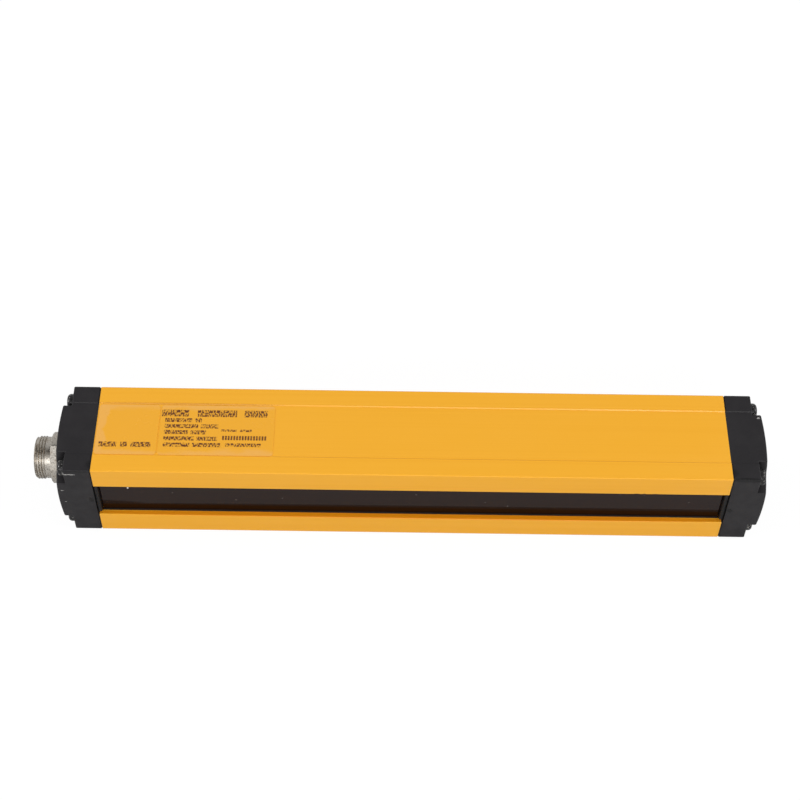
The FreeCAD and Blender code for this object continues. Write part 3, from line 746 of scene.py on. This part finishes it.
# Each block gives its start and end along the bar, its middle across the bar, and its height.
word_blocks = (
    (-87.1, -77.3, 7.4, 3.0), (-74.1, -59.7, 7.4, 3.0), (-56.9, -48.5, 7.4, 3.0),
    (-85.7, -75.9, 4.25, 1.8), (-74.7, -72.4, 4.25, 1.8),
    (-85.7, -73.5, 1.55, 1.8), (-72.5, -66.1, 1.55, 1.8),
    (-85.7, -77.1, -1.15, 1.8), (-76.1, -70.5, -1.15, 1.8),
    (-85.7, -74.7, -3.95, 1.8), (-73.7, -66.3, -3.95, 1.8),
    (-85.7, -76.1, -6.75, 1.8), (-75.1, -64.9, -6.75, 1.8),
    (-65.0, -59.5, -0.2, 1.0), (-58.1, -53.9, -0.2, 1.0), (-63.1, -50.3, -6.6, 1.5),
    (-108.9, -102.5, -6.9, 2.2), (-101.0, -98.6, -6.9, 2.2), (-97.3, -90.1, -6.9, 2.2),
)
film_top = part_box("data_label")[1].z
ink_mesh = bmesh.new()
for start, end, across, height in word_blocks:
    place = Matrix.Translation(((start + end) / 2 * mm, across * mm, film_top))
    bmesh.ops.create_cube(ink_mesh, size=1.0, matrix=place @ Matrix.Diagonal(
        ((end - start) * mm, height * mm, 2 * ink_height * mm, 1)))
bars_mesh = bmesh.new()
for number in range(stripe_count):
    place = Matrix.Translation(((first_stripe + stripe_pitch * number) * mm, -3.5 * mm, film_top))
    bmesh.ops.create_cube(bars_mesh, size=1.0, matrix=place @ Matrix.Diagonal(
        (stripe_width * mm, stripe_height * mm, 2 * ink_height * mm, 1)))

block_ink = start_finish("brown ink in small blocks", ink_brown, 0.35)
ink_strokes = block_ink.node_tree.nodes.new("ShaderNodeTexNoise")
ink_strokes.inputs["Scale"].default_value = 1.0
ink_strokes.inputs["Detail"].default_value = 0.0
block_ink.node_tree.links.new(own_place(block_ink, (0.42 * mm, 1.1 * mm, 1)),
                              ink_strokes.inputs["Vector"])
stain(block_ink, fitted_range(block_ink, ink_strokes.outputs[0], 0.47, 0.55, 0.0, 0.85),
      film_yellow)
gloss_change(block_ink, cloud(block_ink, 1 * mm), 0.3, 0.7, 0.3, 0.42)
block_print = finish_piece(ink_mesh, "label_word_blocks", block_ink)

bar_ink = start_finish("brown ink in bars", ink_brown, 0.35)
stain(bar_ink, fitted_range(bar_ink, cloud(bar_ink, 0.4 * mm), 0.5, 0.7, 0.0, 0.4), film_yellow)
gloss_change(bar_ink, cloud(bar_ink, 1 * mm), 0.3, 0.7, 0.3, 0.42)
bar_print = finish_piece(bars_mesh, "label_plain_bars", bar_ink)

# ------------------------------------------------------------------ the studio
# The bar lies on a white table in pale surroundings that are dimmer overhead. A wide diffuser
# and a narrow lamp for the edges hang on the camera's side, and a diffuser beyond each end. The
# table keeps a faint part of the bar's shadow.
floor_mesh = bmesh.new()
bmesh.ops.create_grid(floor_mesh, x_segments=1, y_segments=1, size=4,
                      matrix=Matrix.Translation((0, 0, -0.1 * mm)))
floor_data = bpy.data.meshes.new("white_table")
floor_mesh.to_mesh(floor_data)
floor_mesh.free()
white_table = bpy.data.objects.new("white_table", floor_data)
bpy.context.scene.collection.objects.link(white_table)
table_white = start_finish("white table", (0.62, 0.62, 0.62), 0.9)
table_tree = table_white.node_tree
shader_of(table_white).inputs["Specular IOR Level"].default_value = 0.0
clean_white = table_tree.nodes.new("ShaderNodeEmission")
clean_white.inputs["Strength"].default_value = 1.09
seen_by = table_tree.nodes.new("ShaderNodeLightPath")
seen_white = table_tree.nodes.new("ShaderNodeMixShader")
share = table_tree.nodes.new("ShaderNodeMath")
share.operation = "MULTIPLY"
share.inputs[1].default_value = 0.85
table_tree.links.new(seen_by.outputs["Is Camera Ray"], share.inputs[0])
table_tree.links.new(share.outputs[0], seen_white.inputs[0])
table_tree.links.new(shader_of(table_white).outputs[0], seen_white.inputs[1])
table_tree.links.new(clean_white.outputs[0], seen_white.inputs[2])
table_tree.links.new(seen_white.outputs[0], table_tree.nodes["Material Output"].inputs[0])
floor_data.materials.append(table_white)

surroundings = bpy.data.worlds.new("pale surroundings")
surroundings.use_nodes = True
bpy.context.scene.world = surroundings
sky_tree = surroundings.node_tree
sky = sky_tree.nodes["Background"]
sky.inputs["Color"].default_value = (1, 1, 1, 1)
sky_place = sky_tree.nodes.new("ShaderNodeTexCoord")
sky_height = sky_tree.nodes.new("ShaderNodeSeparateXYZ")
evenly = sky_tree.nodes.new("ShaderNodeMapRange")
zenith = sky_tree.nodes.new("ShaderNodeMapRange")
dimmed = sky_tree.nodes.new("ShaderNodeMath")
sky_seen_by = sky_tree.nodes.new("ShaderNodeLightPath")
brighter = sky_tree.nodes.new("ShaderNodeMath")
dimmed.operation = "MULTIPLY"
brighter.operation = "MAXIMUM"
evenly.inputs["From Min"].default_value = 0.1
evenly.inputs["From Max"].default_value = 0.75
evenly.inputs["To Min"].default_value = 0.7
evenly.inputs["To Max"].default_value = 0.5
zenith.inputs["From Min"].default_value = 0.9
zenith.inputs["From Max"].default_value = 0.97
zenith.inputs["To Min"].default_value = 1.0
zenith.inputs["To Max"].default_value = 0.12
sky_tree.links.new(sky_place.outputs["Generated"], sky_height.inputs[0])
sky_tree.links.new(sky_height.outputs["Z"], evenly.inputs["Value"])
sky_tree.links.new(sky_height.outputs["Z"], zenith.inputs["Value"])
sky_tree.links.new(evenly.outputs["Result"], dimmed.inputs[0])
sky_tree.links.new(zenith.outputs["Result"], dimmed.inputs[1])
sky_tree.links.new(dimmed.outputs[0], brighter.inputs[0])
sky_tree.links.new(sky_seen_by.outputs["Is Camera Ray"], brighter.inputs[1])
sky_tree.links.new(brighter.outputs[0], sky.inputs["Strength"])


def hang_diffuser(name, place, width, depth, power):
    """Hang a soft lamp that looks at the bar."""
    lamp_data = bpy.data.lights.new(name, "AREA")
    lamp_data.shape = "RECTANGLE"
    lamp_data.size = width
    lamp_data.size_y = depth
    lamp_data.energy = power
    lamp = bpy.data.objects.new(name, lamp_data)
    lamp.location = place
    lamp.rotation_euler = (-Vector(place)).to_track_quat("-Z", "Y").to_euler()
    bpy.context.scene.collection.objects.link(lamp)


hang_diffuser("front diffuser", (-0.1, -1.08, 0.72), 1.3, 0.6, 3.3)
hang_diffuser("edge lamp", (0.2, -1.02, 0.81), 0.5, 0.2, 2.8)
hang_diffuser("left diffuser", (-1.2, -0.1, 0.9), 0.8, 0.8, 6.8)
hang_diffuser("right diffuser", (1.2, -0.1, 0.9), 0.8, 0.8, 7.0)

camera_data = bpy.data.cameras.new("camera")
camera_data.lens = 79.3
camera_data.sensor_width = 36.0
camera_data.clip_start = 0.01
camera = bpy.data.objects.new("camera", camera_data)
camera_aim = Vector((0.00004, 0.04311, 0.00015))
camera_distance = 0.69695
turn = math.radians(0.3455)
tilt = math.radians(53.096)
roll = math.radians(1.081)
towards_camera = Vector((-math.sin(turn) * math.cos(tilt), -math.cos(turn) * math.cos(tilt),
                         math.sin(tilt)))
camera.location = camera_aim + towards_camera * camera_distance
level = (-towards_camera).to_track_quat("-Z", "Y").to_matrix().to_4x4()
camera.rotation_euler = (level @ Matrix.Rotation(roll, 4, "Z")).to_euler()
bpy.context.scene.collection.objects.link(camera)
bpy.context.scene.camera = camera
bpy.context.scene.view_settings.view_transform = "Standard"
